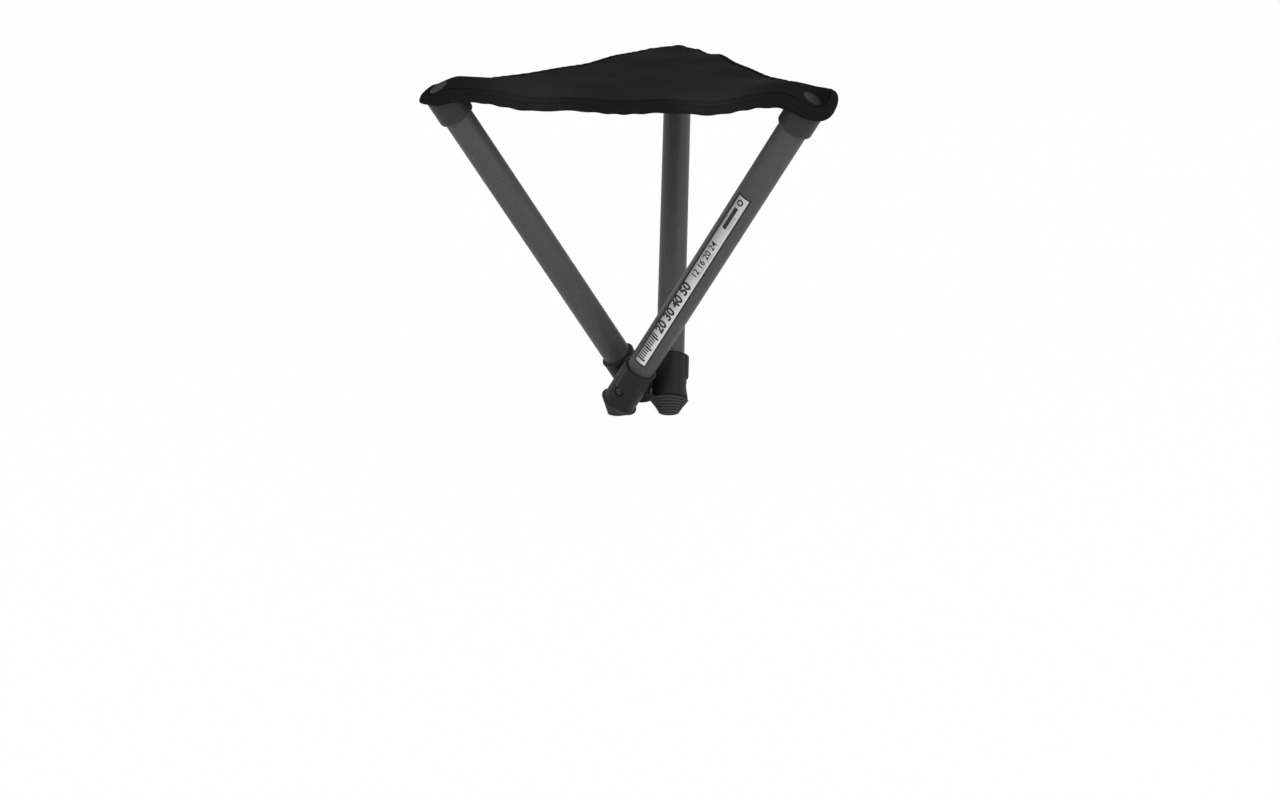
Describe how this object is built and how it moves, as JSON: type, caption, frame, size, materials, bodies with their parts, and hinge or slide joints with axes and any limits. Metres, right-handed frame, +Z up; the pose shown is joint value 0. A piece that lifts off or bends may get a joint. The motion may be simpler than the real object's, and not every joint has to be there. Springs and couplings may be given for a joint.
{
  "type": "folding telescopic stool",
  "caption": "Three-legged folding stool with telescopic tube legs crossing at a low hub, rubber feet and a triangular cloth seat.",
  "frame": {"origin": "on the ground plane, straight under the hub, where the three pivots' plane has its centre", "axes": "+Z up; +Y towards the rear corner of the seat, so the front edge of the seat faces -Y"},
  "size_m": [0.339, 0.2995, 0.3033],
  "materials": {
    "tube_paint": "dark grey fine textured powder paint",
    "black_plastic": "moulded black nylon, satin",
    "bush_plastic": "natural acetal",
    "seat_cloth": "black woven polyester, fine mesh weave",
    "rivet_paint": "grey painted rivet head",
    "steel": "plain zinc-plated steel",
    "lower_tube_metal": "satin anodised aluminium",
    "foot_rubber": "black rubber with fine ribs",
    "label_film": "silver printed film"
  },
  "bodies": {
    "hub": {"central_hub": "black_plastic", "rear_pivot_pin": "steel", "left_pivot_pin": "steel", "right_pivot_pin": "steel"},
    "rear_leg": {"rear_upper_tube": "tube_paint", "rear_joint_collar": "black_plastic", "rear_lower_guide_bush": "bush_plastic", "rear_top_cap": "black_plastic", "rear_corner_pocket": "seat_cloth", "rear_seat_rivet": "rivet_paint"},
    "rear_lower_leg": {"rear_lower_tube": "lower_tube_metal", "rear_upper_guide_bush": "bush_plastic", "rear_snap_pin": "steel", "rear_snap_spring": "steel", "rear_rubber_foot": "foot_rubber"},
    "rear_button": {"rear_release_button": "black_plastic"},
    "rear_right_panel": {"rear_right_seat_panel": "seat_cloth"},
    "rear_left_panel": {"rear_left_seat_panel": "seat_cloth"},
    "left_leg": {"left_upper_tube": "tube_paint", "left_joint_collar": "black_plastic", "left_lower_guide_bush": "bush_plastic", "left_top_cap": "black_plastic", "left_corner_pocket": "seat_cloth", "left_seat_rivet": "rivet_paint"},
    "left_lower_leg": {"left_lower_tube": "lower_tube_metal", "left_upper_guide_bush": "bush_plastic", "left_snap_pin": "steel", "left_snap_spring": "steel", "left_rubber_foot": "foot_rubber"},
    "left_button": {"left_release_button": "black_plastic"},
    "left_rear_panel": {"left_rear_seat_panel": "seat_cloth"},
    "left_right_panel": {"left_right_seat_panel": "seat_cloth"},
    "right_leg": {"right_upper_tube": "tube_paint", "right_joint_collar": "black_plastic", "right_lower_guide_bush": "bush_plastic", "right_top_cap": "black_plastic", "right_corner_pocket": "seat_cloth", "right_seat_rivet": "rivet_paint", "height_label": "label_film"},
    "right_lower_leg": {"right_lower_tube": "lower_tube_metal", "right_upper_guide_bush": "bush_plastic", "right_snap_pin": "steel", "right_snap_spring": "steel", "right_rubber_foot": "foot_rubber"},
    "right_button": {"right_release_button": "black_plastic"},
    "right_left_panel": {"right_left_seat_panel": "seat_cloth"},
    "right_rear_panel": {"right_rear_seat_panel": "seat_cloth"}
  },
  "joints": [
    {"name": "rear_leg_fold", "type": "hinge", "parent": "hub", "child": "rear_leg", "pos_m": [0, 0, 0.0251], "axis": [0.9911, 0.1334, 0], "range_deg": [0, 33.2]},
    {"name": "rear_leg_extend", "type": "slide", "parent": "rear_leg", "child": "rear_lower_leg", "axis": [0.073, -0.5427, -0.8368], "range_m": [0, 0.245]},
    {"name": "rear_button_press", "type": "slide", "parent": "rear_leg", "child": "rear_button", "axis": [-0.9911, -0.1334, 0], "range_m": [0, 0.0015], "stiffness_N_per_m": 800},
    {"name": "rear_right_panel_crease", "type": "hinge", "parent": "rear_leg", "child": "rear_right_panel", "pos_m": [0, 0.17337, 0.28754], "axis": [0.6425, -0.6552, -0.3973], "range_deg": [0, 77.19], "deforming": ["rear_right_seat_panel"]},
    {"name": "rear_left_panel_crease", "type": "hinge", "parent": "rear_leg", "child": "rear_left_panel", "pos_m": [0, 0.17337, 0.28754], "axis": [0.2912, -0.8344, -0.4679], "range_deg": [0, 117.52], "deforming": ["rear_left_seat_panel"]},
    {"name": "left_leg_fold", "type": "hinge", "parent": "hub", "child": "left_leg", "pos_m": [0, 0, 0.0251], "axis": [-0.611, 0.7916, 0], "range_deg": [0, 33.2]},
    {"name": "left_leg_extend", "type": "slide", "parent": "left_leg", "child": "left_lower_leg", "axis": [0.4334, 0.3346, -0.8368], "range_m": [0, 0.245]},
    {"name": "left_button_press", "type": "slide", "parent": "left_leg", "child": "left_button", "axis": [0.611, -0.7916, 0], "range_m": [0, 0.0015], "stiffness_N_per_m": 800},
    {"name": "left_rear_panel_crease", "type": "hinge", "parent": "left_leg", "child": "left_rear_panel", "pos_m": [-0.15014, -0.08668, 0.28754], "axis": [0.2462, 0.8841, -0.3973], "range_deg": [0, 77.19], "deforming": ["left_rear_seat_panel"]},
    {"name": "left_right_panel_crease", "type": "hinge", "parent": "left_leg", "child": "left_right_panel", "pos_m": [-0.15014, -0.08668, 0.28754], "axis": [0.577, 0.6694, -0.4679], "range_deg": [0, 117.52], "deforming": ["left_right_seat_panel"]},
    {"name": "right_leg_fold", "type": "hinge", "parent": "hub", "child": "right_leg", "pos_m": [0, 0, 0.0251], "axis": [-0.38, -0.925, 0], "range_deg": [0, 33.2]},
    {"name": "right_leg_extend", "type": "slide", "parent": "right_leg", "child": "right_lower_leg", "axis": [-0.5065, 0.2081, -0.8368], "range_m": [0, 0.245]},
    {"name": "right_button_press", "type": "slide", "parent": "right_leg", "child": "right_button", "axis": [0.38, 0.925, 0], "range_m": [0, 0.0015], "stiffness_N_per_m": 800},
    {"name": "right_left_panel_crease", "type": "hinge", "parent": "right_leg", "child": "right_left_panel", "pos_m": [0.15014, -0.08668, 0.28754], "axis": [-0.8887, -0.2288, -0.3973], "range_deg": [0, 77.19], "deforming": ["right_left_seat_panel"]},
    {"name": "right_rear_panel_crease", "type": "hinge", "parent": "right_leg", "child": "right_rear_panel", "pos_m": [0.15014, -0.08668, 0.28754], "axis": [-0.8682, 0.165, -0.4679], "range_deg": [0, 117.52], "deforming": ["right_rear_seat_panel"]}
  ],
  "couplings": [
    {"joint": "rear_right_panel_crease", "follows": "rear_leg_fold", "ratio": 2.3247},
    {"joint": "rear_left_panel_crease", "follows": "rear_leg_fold", "ratio": 3.5393},
    {"joint": "left_leg_fold", "follows": "rear_leg_fold", "ratio": 1},
    {"joint": "left_rear_panel_crease", "follows": "rear_leg_fold", "ratio": 2.3247},
    {"joint": "left_right_panel_crease", "follows": "rear_leg_fold", "ratio": 3.5393},
    {"joint": "right_leg_fold", "follows": "rear_leg_fold", "ratio": 1},
    {"joint": "right_left_panel_crease", "follows": "rear_leg_fold", "ratio": 2.3247},
    {"joint": "right_rear_panel_crease", "follows": "rear_leg_fold", "ratio": 3.5393}
  ]
}
